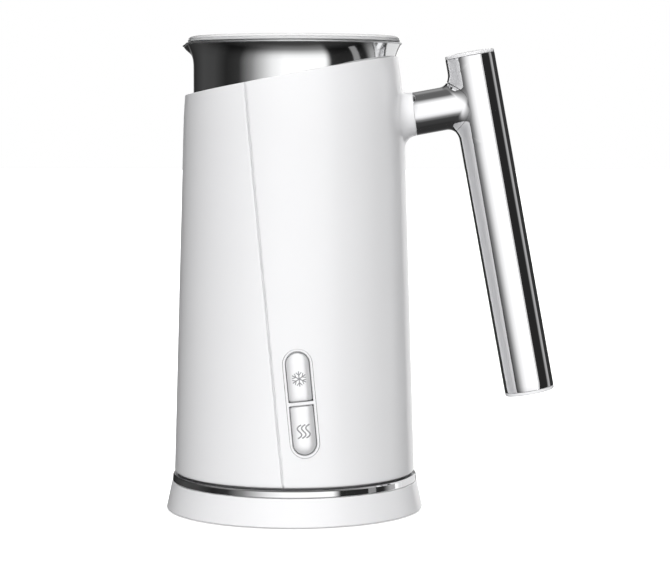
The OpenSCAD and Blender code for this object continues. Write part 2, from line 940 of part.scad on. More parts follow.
module whisk_bush() {
    flange_r = 4.2;
    color("ivory") difference() {
        union() {
            disc(flange_r, bush_z, bush_z + 1);
            disc(bush_r, bush_z, whisk_pin_top - 0.3);
        }
        disc(whisk_pin_r + run_fit, bush_z - cut, whisk_pin_top + cut);
    }
}

module whisk_hub() {
    hub_r = 4.6;
    disc_r = whisk_r - coil_wire_r;
    cavity_top = whisk_pin_top + 0.8;
    top = cavity_top + 3.2;
    color("#26282b") difference() {
        union() {
            disc(hub_r, hub_z, top - 1);
            disc(hub_r - 1, top - 1, top);
            disc(disc_r, hub_z + 0.5, hub_z + 4.5);
        }
        disc(bush_r + run_fit, hub_z - cut, cavity_top);
        around(magnet_at + 0.9, magnet_angles) disc(magnet_r - 0.1, hub_z - cut, hub_z + 0.5 + magnet_h);
    }
}

module whisk_magnets() {
    color("slategray") around(magnet_at + 0.9, magnet_angles)
        disc(magnet_r - 0.1, hub_z + 0.5, hub_z + 0.5 + magnet_h);
}

// The outer shape of the coil spring that is bent into a ring around the whisk
module whisk_coil() {
    color(STEEL) rotate_extrude() translate([whisk_r, hub_z + 2.5]) circle(r = coil_wire_r);
}

base_cover();
base_trim_ring();
base_plate();
base_foot_ring();
base_screws();
base_connector();
base_contacts();
cord_gland();
base_leads();
housing_spout_side();
housing_handle_side();
jug_bottom_cover();
bottom_cover_screws();
jug_connector();
jug_contacts();
milk_jug();
jug_gasket();
whisk_pin();
heater_plate();
heating_element();
thermal_cutout();
temperature_sensor();
mounting_studs();
stud_spacers();
stud_nuts();
motor_bracket();
motor_can();
motor_leads();
motor_shaft();
drive_rotor();
drive_magnets();
power_board();
power_board_screws();
power_relay();
power_transformer();
power_capacitor();
terminal_block();
heater_leads();
control_board();
control_board_screws();
key_switches();
ribbon_cable();
button_bezel();
cold_button();
heat_button();
handle_neck();
handle_grip();
grip_cap_top();
grip_cap_bottom();
grip_insert();
handle_bolt();
lid();
lid_seal();
whisk_bush();
whisk_hub();
whisk_magnets();
whisk_coil();
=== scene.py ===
"""Looks of the milk frother: shells, handle, steel jug, base, buttons, lid and whisk."""

import json
import math

import bmesh
import bpy
from mathutils import Matrix, Vector


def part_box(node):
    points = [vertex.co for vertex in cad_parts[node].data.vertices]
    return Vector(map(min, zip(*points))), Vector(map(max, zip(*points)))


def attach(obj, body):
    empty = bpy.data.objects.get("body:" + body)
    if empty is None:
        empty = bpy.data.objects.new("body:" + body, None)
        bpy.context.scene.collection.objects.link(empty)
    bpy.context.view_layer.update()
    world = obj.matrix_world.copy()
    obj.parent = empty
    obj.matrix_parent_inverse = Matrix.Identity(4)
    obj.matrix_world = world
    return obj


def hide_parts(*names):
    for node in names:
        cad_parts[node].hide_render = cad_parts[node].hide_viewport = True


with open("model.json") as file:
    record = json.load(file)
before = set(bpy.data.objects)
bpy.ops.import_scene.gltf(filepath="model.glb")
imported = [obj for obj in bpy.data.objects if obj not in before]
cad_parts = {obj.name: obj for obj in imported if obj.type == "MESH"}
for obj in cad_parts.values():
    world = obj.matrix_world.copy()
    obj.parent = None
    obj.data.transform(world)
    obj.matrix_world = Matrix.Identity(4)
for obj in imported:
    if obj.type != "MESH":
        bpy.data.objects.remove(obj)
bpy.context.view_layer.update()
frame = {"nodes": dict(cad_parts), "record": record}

# Lengths are in millimetres and angles in radians. The handle points along +X, the buttons face -Y.
MM = 0.001
TAU = 2 * math.pi
QUARTER = math.pi / 2


def box_mm(node):
    low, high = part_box(node)
    return low / MM, high / MM


# --- Sizes from the frame ---

COVER_LOW, COVER_HIGH = box_mm("base_cover")
RING_LOW, RING_HIGH = box_mm("base_trim_ring")
SPOUT_LOW, _ = box_mm("housing_spout_side")
JUG_LOW, JUG_HIGH = box_mm("milk_jug")
LID_LOW, LID_HIGH = box_mm("lid")
COIL_LOW, COIL_HIGH = box_mm("whisk_coil")

# Body: a cone whose shoulder curves in, cut by a slanted rim and a leaning seam
BODY_R = -SPOUT_LOW.x
BODY_FOOT = SPOUT_LOW.z
BODY_EDGE = 0.8
BODY_TAPER = 0.03
SHOULDER_Z = 165.0
SHOULDER_BEND = 0.0025
WALL = 2.4
SLANT = math.radians(10.4)
RIM_Z = 186.1
BAND_Z = 172.0
BAND_RISE = 1.5
JUG_GAP = 0.15
SEAM_LEAN = math.radians(5.54)
SEAM_X = -0.369
SEAM_HALF = 0.36
SEAM_DEPTH = 1.05
SEAM_ROLL = 0.38
RIM_ROLL = 0.3

# Steel jug
JUG_R = 42.9
JUG_RIM = JUG_HIGH.z
FLARE_Z = 190.0
FLARE_BEND = 0.0325
SHEET = 0.7

# Handle: the neck and the grip cross at GRIP_AT
GRIP_AT = Vector((78.67, 0.0, 174.66))
ALONG_NECK = Vector((math.cos(SLANT), 0.0, math.sin(SLANT)))
UP_GRIP = Vector((-math.sin(SLANT), 0.0, math.cos(SLANT)))
ACROSS = Vector((0.0, 1.0, 0.0))
GRIP_R = 10.6
GRIP_TOP = 20.05
GRIP_FOOT = -124.85
CAP_T = 1.9
NECK_R = 9.15
NECK_FROM = -27.6
NECK_END_LEAN = 0.066

# Button panel: u across, v up along the seam, w out of the body
PANEL_Z = 51.2
PANEL_AZIMUTH = math.radians(-83.8)
PANEL_LEAN = math.radians(5.3)
BEZEL_W = 12.5
BEZEL_LEN = 45.2
BEZEL_RIM = 1.3
KEY_GAP = 0.16
DIVIDER = 0.9


def body_r_at(z):
    if z < BODY_FOOT + BODY_EDGE:
        drop = BODY_FOOT + BODY_EDGE - max(z, BODY_FOOT)
        return BODY_R - BODY_EDGE + math.sqrt(max(0.0, BODY_EDGE ** 2 - drop ** 2))
    taper = BODY_TAPER * (z - BODY_FOOT - BODY_EDGE)
    return BODY_R - taper - SHOULDER_BEND * max(0.0, z - SHOULDER_Z) ** 2


def jug_r_at(z):
    return JUG_R + FLARE_BEND * max(0.0, z - FLARE_Z) ** 2


def mix(a, b, share):
    return a + (b - a) * share


def mix_pair(a, b, share):
    return mix(a[0], b[0], share), mix(a[1], b[1], share)


def polar(r, angle):
    return r * math.cos(angle), r * math.sin(angle)


def ease(x):
    x = min(1.0, max(0.0, x))
    return x * x * (3 - 2 * x)


def body_wall_at(z):
    """Thickness of the body's wall: above the band it reaches in to the steel jug."""
    r = body_r_at(z)
    plain = min(WALL, r - (BODY_R - WALL)) if z < BODY_FOOT + BODY_EDGE else WALL
    band = r - jug_r_at(z) - JUG_GAP
    return mix(plain, band, ease((z - BAND_Z + BAND_RISE) / BAND_RISE))


# --- Mesh building ---


class Shell:
    """Vertices in millimetres and faces, gathered row by row."""

    def __init__(self):
        self.verts = []
        self.faces = []

    def row(self, points):
        start = len(self.verts)
        self.verts.extend(tuple(p) for p in points)
        return list(range(start, len(self.verts)))

    def bridge(self, a, b, closed=True):
        """Faces between two rows of the same length. A row of one vertex stands for a point."""
        count = max(len(a), len(b))
        for i in range(count if closed else count - 1):
            j = (i + 1) % count
            corners = [a[i % len(a)], a[j % len(a)], b[j % len(b)], b[i % len(b)]]
            face = list(dict.fromkeys(corners))
            if len(face) > 2:
                self.faces.append(face)

    def loft(self, rows, closed=True):
        for a, b in zip(rows, rows[1:]):
            self.bridge(a, b, closed)

    def cap(self, loop, centre):
        self.bridge(loop, self.row([centre]))

    def grid(self, rows, closed=False, holes=()):
        """Quads over rows of vertices, without the cells inside the holes (i0, i1, j0, j1)."""
        for i in range(len(rows) - 1):
            count = len(rows[i])
            for j in range(count if closed else count - 1):
                if any(i0 <= i < i1 and j0 <= j < j1 for i0, i1, j0, j1 in holes):
                    continue
                k = (j + 1) % count
                self.faces.append([rows[i][j], rows[i][k], rows[i + 1][k], rows[i + 1][j]])


def lathed(outline, steps, place=None):
    """A closed outline of (r, z) turned about the Z axis."""
    shell = Shell()
    rows = []
    for r, z in outline:
        count = 1 if r < 1e-6 else steps
        ring = [(*polar(r, TAU * k / steps), z) for k in range(count)]
        rows.append(shell.row([place(Vector(p)) for p in ring] if place else ring))
    for a, b in zip(rows, rows[1:] + rows[:1]):
        if len(a) > 1 or len(b) > 1:
            shell.bridge(a, b)
    return shell


def rounded(corners, segments=5):
    """A closed outline with each corner (x, y, radius) rounded by an arc."""
    outline = []
    for i, (x, y, radius) in enumerate(corners):
        here = Vector((x, y))
        back = Vector(corners[i - 1][:2]) - here
        ahead = Vector(corners[(i + 1) % len(corners)][:2]) - here
        if radius <= 0:
            outline.append((x, y))
            continue
        half = back.angle(ahead) / 2
        reach = min(radius / math.tan(half), 0.48 * back.length, 0.48 * ahead.length)
        start = here + back.normalized() * reach
        end = here + ahead.normalized() * reach
        middle = here + (back.normalized() + ahead.normalized()).normalized() * (reach / math.cos(half))
        first = start - middle
        turn = math.pi - 2 * half
        if first.x * (end - middle).y - first.y * (end - middle).x < 0:
            turn = -turn
        for k in range(segments + 1):
            a = turn * k / segments
            outline.append((middle.x + first.x * math.cos(a) - first.y * math.sin(a),
                            middle.y + first.x * math.sin(a) + first.y * math.cos(a)))
    return outline


def quarter_round(roll, steps, first=1):
    """Pairs along an edge's rounding: the first falls from roll to 0, the second grows to roll."""
    for k in range(first, steps + 1):
        lean = QUARTER * k / steps
        yield roll * (1 - math.sin(lean)), roll * (1 - math.cos(lean))


def bezier(a, b, c, d, t):
    s = 1 - t
    return a * s ** 3 + b * (3 * s * s * t) + c * (3 * s * t * t) + d * t ** 3


def rect_loop(rows, hole):
    """The grid's vertices around a rectangular hole, in order."""
    i0, i1, j0, j1 = hole
    return ([rows[i0][j] for j in range(j0, j1)] + [rows[i][j1] for i in range(i0, i1)]
            + [rows[i1][j] for j in range(j1, j0, -1)] + [rows[i][j0] for i in range(i1, i0, -1)])


def in_scene(name, data):
    obj = bpy.data.objects.new(name, data)
    bpy.context.scene.collection.objects.link(obj)
    return obj


def finish_mesh(name, shell, sharp):
    mesh = bpy.data.meshes.new(name)
    mesh.from_pydata([[c * MM for c in v] for v in shell.verts], [], shell.faces)
    clean_mesh(mesh, sharp)
    return mesh


def clean_mesh(mesh, sharp):
    bm = bmesh.new()
    bm.from_mesh(mesh)
    bmesh.ops.remove_doubles(bm, verts=bm.verts, dist=1e-7)
    bmesh.ops.delete(bm, geom=[v for v in bm.verts if not v.link_faces], context="VERTS")
    bmesh.ops.recalc_face_normals(bm, faces=bm.faces)
    bm.to_mesh(mesh)
    bm.free()
    mesh.polygons.foreach_set("use_smooth", [True] * len(mesh.polygons))
    mesh.set_sharp_from_angle(angle=math.radians(sharp))


def piece(name, shape, look, body, stands_for=(), sharp=40, weighted=True):
    """A finished piece from a Shell or a mesh, on its body. Its slot is named after its look."""
    mesh = finish_mesh(name, shape, sharp) if isinstance(shape, Shell) else shape
    mesh.materials.clear()
    mesh.materials.append(MATERIALS[look])
    obj = in_scene(name, mesh)
    if weighted:
        obj.modifiers.new("even_normals", "WEIGHTED_NORMAL").keep_sharp = True
    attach(obj, body)
    if stands_for:
        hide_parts(*stands_for)
    return obj


def united(name, shells, sharp):
    """One closed mesh from several overlapping closed ones."""
    objects = [in_scene(f"{name}_{k}", finish_mesh(f"{name}_{k}", shell, sharp))
               for k, shell in enumerate(shells)]
    for other in objects[1:]:
        union = objects[0].modifiers.new("union", "BOOLEAN")
        union.operation = "UNION"
        union.object = other
    bpy.context.view_layer.update()
    ready = objects[0].evaluated_get(bpy.context.evaluated_depsgraph_get())
    mesh = bpy.data.meshes.new_from_object(ready)
    mesh.name = name
    for obj in objects:
        bpy.data.objects.remove(obj)
    clean_mesh(mesh, sharp)
    return mesh


# --- Materials ---


class Nodes:
    """Adds nodes to a material or a world."""

    def __init__(self, tree):
        self.tree = tree
        tree.nodes.clear()

    def add(self, kind, inputs=None, **settings):
        """A node whose inputs are joined to other nodes' sockets or set to values."""
        node = self.tree.nodes.new(kind)
        for key, value in settings.items():
            setattr(node, key, value)
        for key, value in (inputs or {}).items():
            if isinstance(value, bpy.types.NodeSocket):
                self.tree.links.new(value, node.inputs[key])
            else:
                node.inputs[key].default_value = value
        return node

    def math(self, operation, *values):
        return self.add("ShaderNodeMath", dict(enumerate(values)), operation=operation).outputs[0]

    def noise(self, coords, scale, detail=3.0, stretch=(1, 1, 1)):
        placed = self.add("ShaderNodeMapping", {"Vector": coords, "Scale": stretch}).outputs[0]
        return self.add("ShaderNodeTexNoise", {"Vector": placed, "Scale": scale, "Detail": detail}).outputs[0]

    def ramp(self, value, stops):
        """A colour ramp whose stops are (place, grey or colour)."""
        node = self.add("ShaderNodeValToRGB", {"Fac": value})
        elements = node.color_ramp.elements
        while len(elements) < len(stops):
            elements.new(0.5)
        for element, (place, colour) in zip(elements, stops):
            element.position = place
            element.color = (colour,) * 3 + (1,) if isinstance(colour, (int, float)) else (*colour, 1)
        return node.outputs[0]

    def blend(self, share, a, b):
        return self.add("ShaderNodeMix", {0: share, 6: a, 7: b}, data_type="RGBA").outputs[2]

    def surface(self, base, rough, relief, strength, depth, others):
        """Ends a material: its shader, with a relief of this depth in metres."""
        bump = self.add("ShaderNodeBump", {"Height": relief, "Strength": strength, "Distance": depth})
        shader = self.add("ShaderNodeBsdfPrincipled", {
            "Base Color": base, "Roughness": rough, "Normal": bump.outputs[0], **others})
        self.add("ShaderNodeOutputMaterial", {"Surface": shader.outputs[0]})


MATERIALS = {}


def new_material(name):
    """An empty material under its name, its nodes and its object's coordinates."""
    made = MATERIALS[name] = bpy.data.materials.new(name)
    made.use_nodes = True
    n = Nodes(made.node_tree)
    return made, n, n.add("ShaderNodeTexCoord").outputs["Object"]


def darker(colour, share):
    return tuple(c * share for c in colour) + (1,)


def finish(name, colour, roughness, shade=0.06, patch=40, rough_range=0.08, grain=900, bump=0.03,
           bump_depth=0.00005, stretch=(1, 1, 1), streaks=None, dark_spots=0.0, satin_above=None,
           frost_above=None, **sockets):
    """A procedural finish: slow changes of colour, finer changes of roughness, and a fine relief.
    It is frosted or satin above a height in metres, where one is given."""
    made, n, place = new_material(name)
    slow = n.noise(place, patch, 4.0, stretch)
    fine = n.noise(place, grain, 5.0, stretch)
    base = n.blend(n.ramp(slow, [(0.3, 0.0), (0.7, 1.0)]), darker(colour, 1 - shade), (*colour, 1))
    if dark_spots:
        specks = n.ramp(n.noise(place, grain * 0.6, 2.0), [(0.62, 0.0), (0.7, 1.0)])
        base = n.blend(n.math("MULTIPLY", specks, dark_spots), base, darker(colour, 0.45))
    if streaks:
        scale, stretched, strength = streaks
        lines = n.noise(place, scale, 3.0, stretched)
        base = n.blend(n.math("MULTIPLY", lines, strength), base, darker(colour, 0.55))
        fine = n.math("ADD", fine, n.math("MULTIPLY", lines, 0.8))
    spread = n.math("MULTIPLY", n.noise(place, patch * 6), rough_range)
    rough = n.math("ADD", roughness - rough_range / 2, spread)
    if frost_above or satin_above:
        height = n.add("ShaderNodeSeparateXYZ", {"Vector": place}).outputs[2]
    if frost_above:
        frost = n.add("ShaderNodeMapRange", {
            "Value": height, "From Min": frost_above, "From Max": frost_above + 0.0003}).outputs[0]
        base = n.blend(frost, base, (0.7, 0.7, 0.7, 1))
    if satin_above:
        rough = n.math("ADD", rough, n.math("MULTIPLY", n.math("GREATER_THAN", height, satin_above), 0.42))
    others = {key.replace("_", " "): value for key, value in sockets.items()}
    n.surface(base, rough, fine, bump, bump_depth, others)
    return made


METAL = {"Metallic": 1.0}
finish("white_plastic", (0.74, 0.74, 0.75), 0.3, shade=0.012, grain=2600, bump=0.05, Coat_Weight=0.35,
       Coat_Roughness=0.16)
finish("button_plastic", (0.86, 0.86, 0.87), 0.3, shade=0.015, grain=3000, bump=0.05, Metallic=0.46)
finish("dark_plastic", (0.035, 0.035, 0.038), 0.45, shade=0.15, grain=2400, bump=0.25)
finish("chrome", (0.85, 0.85, 0.86), 0.055, shade=0.01, rough_range=0.03, grain=500, bump=0.004,
       bump_depth=0.00001, **METAL)
finish("bezel_silver", (0.8, 0.8, 0.81), 0.2, shade=0.03, rough_range=0.05, grain=1500, bump=0.02,
       **METAL)
finish("jug_steel", (0.88, 0.885, 0.89), 0.09, shade=0.02, rough_range=0.04, grain=700, bump=0.006,
       bump_depth=0.00001, streaks=(60, (1, 1, 90), 0.03), satin_above=(JUG_RIM - 0.69) * MM, **METAL)
finish("zinc_steel", (0.62, 0.62, 0.6), 0.34, shade=0.18, patch=160, grain=1500, bump=0.2, **METAL)
finish("cast_aluminium", (0.66, 0.66, 0.67), 0.48, shade=0.15, patch=120, grain=1300, bump=0.5,
       dark_spots=0.35, **METAL)
finish("contact_brass", (0.83, 0.62, 0.28), 0.24, shade=0.2, patch=200, grain=1800, bump=0.12, **METAL)
finish("foot_rubber", (0.03, 0.03, 0.03), 0.82, shade=0.3, grain=2200, bump=0.6, dark_spots=0.2)
finish("silicone", (0.72, 0.73, 0.74), 0.55, shade=0.05, grain=1700, bump=0.15, Subsurface_Weight=0.3,
       Subsurface_Scale=0.002)
finish("lid_plastic", (0.58, 0.585, 0.59), 0.14, shade=0.02, grain=1600, bump=0.02,
       frost_above=(LID_HIGH.z - 1.15) * MM, Coat_Weight=0.6, Coat_Roughness=0.06)
finish("grey_plastic", (0.2, 0.2, 0.205), 0.5, shade=0.12, grain=2400, bump=0.25)
finish("component_plastic", (0.05, 0.13, 0.42), 0.4, shade=0.12, grain=2000, bump=0.2)
finish("wire_insulation", (0.36, 0.1, 0.05), 0.5, shade=0.15, grain=1500, bump=0.15)
finish("ceramic_ivory", (0.8, 0.74, 0.6), 0.5, shade=0.12, patch=150, grain=1400, bump=0.25,
       dark_spots=0.15)
finish("bush_plastic", (0.78, 0.75, 0.66), 0.38, shade=0.05, grain=2000, bump=0.1)
finish("magnet", (0.36, 0.37, 0.39), 0.3, shade=0.2, patch=200, grain=1500, bump=0.15, **METAL)
finish("icon_print", (0.27, 0.27, 0.28), 0.5, shade=0.1, grain=2400, bump=0.1)
finish("white_wire", (0.78, 0.78, 0.76), 0.5, shade=0.06, grain=1500, bump=0.15)
finish("red_wire", (0.5, 0.03, 0.02), 0.45, shade=0.12, grain=1500, bump=0.15)
finish("green_plastic", (0.03, 0.28, 0.12), 0.42, shade=0.1, grain=2000, bump=0.2)
finish("film_blue", (0.02, 0.03, 0.16), 0.3, shade=0.1, grain=1800, bump=0.08)
finish("winding_tape", (0.72, 0.6, 0.22), 0.45, shade=0.12, grain=1500, bump=0.15,
       streaks=(90, (1, 1, 12), 0.3))


def circuit_board():
    """Green board: darker mask between lighter tracks, with tinned pads."""
    _, n, place = new_material("circuit_board")
    tracks = n.add("ShaderNodeTexBrick", {
        "Vector": place, "Scale": 110.0, "Mortar Size": 0.06, "Color1": (0, 0, 0, 1), "Color2": (0, 0, 0, 1),
        "Mortar": (1, 1, 1, 1)}).outputs["Color"]
    cells = n.add("ShaderNodeTexVoronoi", {"Vector": place, "Scale": 260.0}).outputs["Distance"]
    pads = n.ramp(cells, [(0.16, 1.0), (0.2, 0.0)])
    mask = n.blend(n.noise(place, 90), (0.006, 0.06, 0.02, 1), (0.012, 0.1, 0.035, 1))
    copper = n.blend(tracks, mask, (0.03, 0.2, 0.06, 1))
    base = n.blend(pads, copper, (0.5, 0.5, 0.45, 1))
    rough = n.math("ADD", 0.28, n.math("MULTIPLY", n.noise(place, 900), 0.15))
    n.surface(base, rough, tracks, 0.3, 0.00005, {"Metallic": pads})


circuit_board()

# --- Camera, floor and light ---


def camera():
    data = bpy.data.cameras.new("camera")
    data.sensor_width = 36.0
    data.lens = 120.86
    data.clip_start, data.clip_end = 0.05, 50.0
    obj = in_scene("camera", data)
    obj.location = (0.0520, -0.9649, 0.1693)
    obj.rotation_euler = (QUARTER - 0.0759, 0.0, 0.0357)
    bpy.context.scene.camera = obj


def floor():
    size = 6.0
    mesh = bpy.data.meshes.new("floor")
    corners = [(-size, -size, 0), (size, -size, 0), (size, size, 0), (-size, size, 0)]
    mesh.from_pydata(corners, [], [(0, 1, 2, 3)])
    made = finish("floor_white", (0.93, 0.93, 0.93), 0.7, shade=0.01, patch=3, grain=300, bump=0.02,
                  Emission_Color=(1, 1, 1, 1), Emission_Strength=0.3)
    mesh.materials.append(made)
    obj = in_scene("floor", mesh)
    obj.visible_glossy = obj.visible_diffuse = False


def studio():
    """A studio seen by direction. Azimuth runs from the camera's side (-Y) towards the handle (+X)."""
    world = bpy.data.worlds.new("studio")
    bpy.context.scene.world = world
    world.use_nodes = True
    world.cycles.sampling_method = "NONE"
    n = Nodes(world.node_tree)
    direction = n.add("ShaderNodeTexCoord").outputs["Generated"]
    xyz = n.add("ShaderNodeSeparateXYZ", {"Vector": direction}).outputs
    turn = n.math("ARCTAN2", xyz[0], n.math("MULTIPLY", xyz[1], -1.0))
    around = n.math("ADD", 0.5, n.math("DIVIDE", turn, TAU))
    rise = n.math("ADD", 0.5, n.math("DIVIDE", n.math("ARCSINE", xyz[2]), math.pi))

    def by_turn(*stops):
        return n.ramp(around, [(0.5 + degrees / 360, level) for degrees, level in stops])

    def by_rise(*stops):
        return n.ramp(rise, [(0.5 + degrees / 180, level) for degrees, level in stops])

    def times(a, b):
        return n.math("MULTIPLY", a, b)

    def background(strength):
        return n.add("ShaderNodeBackground", {"Color": (1, 1, 1, 1), "Strength": strength}).outputs[0]

    # What shines back from the bright pieces
    walls = by_turn((-180, 0.22), (-168, 0.2), (-158, 0.015), (-122, 0.055), (-100, 0.05), (-80, 0.018),
                    (-62, 0.03), (-46, 0.22), (-33, 0.52), (-22, 0.8), (-8, 1.0), (39, 1.0), (46, 0.02),
                    (95, 0.02), (104, 0.34), (114, 0.42), (119, 0.03), (160, 0.03), (172, 0.22))
    heights = by_rise((-90, 0.0), (-52, 0.02), (-40, 0.2), (-24, 0.85), (-12, 1.0), (42, 1.0), (58, 0.4),
                      (70, 0.0))
    ends = by_rise((-90, 0.035), (-50, 0.035), (-38, 0.0), (34, 0.0), (56, 0.24), (68, 0.15), (90, 0.13))
    walls_power = 1.2
    mirrored = n.math("ADD", times(times(walls, heights), walls_power), ends)
    # What lights the plain ones
    overhead_power, below_power, front_power = 2.3, 0.5, 3.85
    overhead = times(by_rise((50, 0.0), (62, 1.0)), overhead_power)
    below = times(by_rise((-6, 1.0), (0, 0.0)), below_power)
    front = by_turn((-180, 0.9), (-150, 0.75), (-132, 0.0), (-44, 0.0), (-22, 0.9), (0, 1.02), (12, 0.97),
                    (26, 0.62), (42, 0.0), (118, 0.0), (138, 0.9))
    window = by_rise((-12, 0.0), (0, 1.0), (42, 1.0), (56, 0.0))
    soft = n.math("ADD", n.math("ADD", overhead, below), times(times(front, window), front_power))
    path = n.add("ShaderNodeLightPath").outputs
    lit = n.add("ShaderNodeMixShader", {
        0: path["Is Glossy Ray"], 1: background(soft), 2: background(mirrored)}).outputs[0]
    seen = n.add("ShaderNodeMixShader", {0: path["Is Camera Ray"], 1: lit, 2: background(1.0)}).outputs[0]
    n.add("ShaderNodeOutputWorld", {"Surface": seen})
    bpy.context.scene.view_settings.view_transform = "Standard"


def card(name, azimuth, width, radiance, receivers, mirrored_only=False):
    """A tall soft light, in degrees round from the front, that only the given pieces receive."""
    distance, rise, height = 1.5, 0.2, 2.4
    data = bpy.data.lights.new(name, "AREA")
    data.shape = "RECTANGLE"
    data.size = 2 * distance * math.tan(math.radians(width) / 2)
    data.size_y = height
    data.energy = radiance * math.pi * data.size * height
    obj = in_scene(name, data)
    turn = math.radians(azimuth)
    away = Vector((math.sin(turn), -math.cos(turn), 0.0))
    obj.location = away * distance + Vector((0.0, 0.0, rise))
    obj.rotation_euler = away.to_track_quat("Z", "Y").to_euler()
    obj.visible_camera = False
    obj.visible_diffuse = not mirrored_only
    group = bpy.data.collections.new(name)
    for receiver in receivers:
        group.objects.link(receiver)
    obj.light_linking.receiver_collection = group


camera()
floor()
studio()

# --- Body shells ---

FOOT_ROWS = 4
SIDE_ROWS = 132
TOP_ROW = FOOT_ROWS + SIDE_ROWS
# Layers that join a shell's outside to its inside: the first ones roll its edges
LAYERS = 8
ROLL_LAYERS = 4
SEAM_LAYERS = 6
# Half the gap that is left between the two shells behind their seam
MEETING_GAP = 0.02


def shell_point(side, s, row, seam_in, rim_in, depth_of):
    """A point of the shell on the handle's side (1) or the spout's side (-1). s runs round it from
    seam to seam and row up it; seam_in and rim_in draw its edges back; depth_of(wall) is its depth."""
    z = BODY_FOOT
    for _ in range(7):
        wall = body_wall_at(z)
        r = body_r_at(z) - depth_of(wall)
        edge_x = SEAM_X - math.tan(SEAM_LEAN) * z + side * (SEAM_HALF + seam_in)
        half = math.acos(edge_x / r)
        angle = mix(-half, half, s) if side > 0 else mix(half, TAU - half, s)
        top = RIM_Z + math.tan(SLANT) * r * math.cos(angle) - rim_in
        if row <= FOOT_ROWS:
            z = BODY_FOOT + BODY_EDGE * (1 - math.cos(QUARTER * row / FOOT_ROWS))
        else:
            z = mix(BODY_FOOT + BODY_EDGE, top, (row - FOOT_ROWS) / SIDE_ROWS)
    return Vector((*polar(r, angle), z))


def rim_roll(wall):
    return min(RIM_ROLL, 0.45 * wall)


def on_surface(wall):
    return 0.0


def edge_layer(k):
    """How far the seam's and the rim's edges are drawn back at layer k, and their depths."""
    lean = QUARTER * min(k, ROLL_LAYERS) / ROLL_LAYERS
    back, down = 1 - math.sin(lean), 1 - math.cos(lean)
    seam_in = SEAM_ROLL * back if k < SEAM_LAYERS else MEETING_GAP - SEAM_HALF

    def seam_depth(wall):
        if k == LAYERS - 1:
            return wall
        return min(SEAM_ROLL * down if k <= ROLL_LAYERS else SEAM_DEPTH, wall * k / LAYERS)

    def rim_depth(wall):
        if k <= ROLL_LAYERS:
            return rim_roll(wall) * down
        return mix(rim_roll(wall), wall, (k - ROLL_LAYERS) / (LAYERS - 1 - ROLL_LAYERS))

    def foot_depth(wall):
        return wall * k / (LAYERS - 1)

    return seam_in, back, seam_depth, rim_depth, foot_depth


def blended(one, other, share):
    return lambda wall: mix(one(wall), other(wall), share)


def body_half(side, columns, holes=(), inner_holes=()):
    """One shell: an outer and an inner grid, joined round their edges by rolled layers."""
    shell = Shell()

    def grid_of(seam_in, rim_in, depth):
        return [shell.row([shell_point(side, j / columns, i, seam_in, rim_in[j], depth)
                           for j in range(columns + 1)]) for i in range(TOP_ROW + 1)]

    tops = [shell_point(side, j / columns, TOP_ROW, 0.0, 0.0, on_surface) for j in range(columns + 1)]
    rim_in = [rim_roll(body_wall_at(p.z)) for p in tops]
    outer = grid_of(edge_layer(0)[0], rim_in, on_surface)
    inner = grid_of(edge_layer(LAYERS - 1)[0], [0.0] * len(rim_in), lambda wall: wall)
    shell.grid(outer, holes=holes)
    shell.grid(inner, holes=inner_holes)
    whole = (0, TOP_ROW, 0, columns)
    around = ([(0, j) for j in range(columns)] + [(i, columns) for i in range(TOP_ROW)]
              + [(TOP_ROW, j) for j in range(columns, 0, -1)] + [(i, 0) for i in range(TOP_ROW, 0, -1)])
    rows = [rect_loop(outer, whole)]
    for k in range(1, LAYERS - 1):
        seam_in, back, seam_depth, rim_depth, foot_depth = edge_layer(k)
        points = []
        for i, j in around:
            depth = seam_depth
            if i in (0, TOP_ROW):
                off_seam = ease(min(j, columns - j) / 3)
                depth = blended(seam_depth, foot_depth if i == 0 else rim_depth, off_seam)
            points.append(shell_point(side, j / columns, i, seam_in, rim_in[j] * back, depth))
        rows.append(shell.row(points))
    rows.append(rect_loop(inner, whole))
    shell.loft(rows)
    return shell, outer, inner


# --- Button panel and handle root, where they meet the body ---

PANEL_AXES = (Matrix.Rotation(PANEL_AZIMUTH + QUARTER, 3, "Z")
              @ Matrix.Rotation(QUARTER - math.atan(BODY_TAPER), 3, "X")
              @ Matrix.Rotation(PANEL_LEAN, 3, "Z"))
PANEL_U, PANEL_V, PANEL_W = (PANEL_AXES.col[k].copy() for k in range(3))
PANEL_AT = Vector((*polar(body_r_at(PANEL_Z), PANEL_AZIMUTH), PANEL_Z))


def on_panel(u, v, height):
    """The point over (u, v) that is this far out of the body's surface."""
    foot, w = PANEL_AT + PANEL_U * u + PANEL_V * v, 0.0
    for _ in range(5):
        p = foot + PANEL_W * w
        w += body_r_at(p.z) + height - math.hypot(p.x, p.y)
    return foot + PANEL_W * w


def panel_uv(p):
    away = Vector(p) - PANEL_AT
    return away.dot(PANEL_U), away.dot(PANEL_V)


def to_capsule(u, v, width, length):
    """The point of a capsule's outline that is nearest to (u, v)."""
    straight = (length - width) / 2
    middle = min(straight, max(-straight, v))
    away = Vector((u, v - middle)).normalized() * width / 2
    return away.x, away.y + middle


def hole_for(outer, inside):
    """The smallest block of grid cells that holds every vertex for which inside() is true."""
    rows, columns = zip(*((i, j) for i, row in enumerate(outer) for j, v in enumerate(row) if inside(v)))
    return min(rows) - 1, max(rows) + 1, min(columns) - 1, max(columns) + 1


def on_body(y, q):
    """The body's point on a line along the neck, y across and q up from its axis."""
    start = GRIP_AT + ACROSS * y + UP_GRIP * q
    near, far = -18.0, -48.0
    for _ in range(26):
        s = (near + far) / 2
        p = start + ALONG_NECK * s
        if math.hypot(p.x, p.y) > body_r_at(p.z):
            near = s
        else:
            far = s
    return start + ALONG_NECK * near


def neck_point(radius, angle, s):
    y, q = polar(radius, angle)
    return GRIP_AT + ALONG_NECK * s + ACROSS * y + UP_GRIP * q


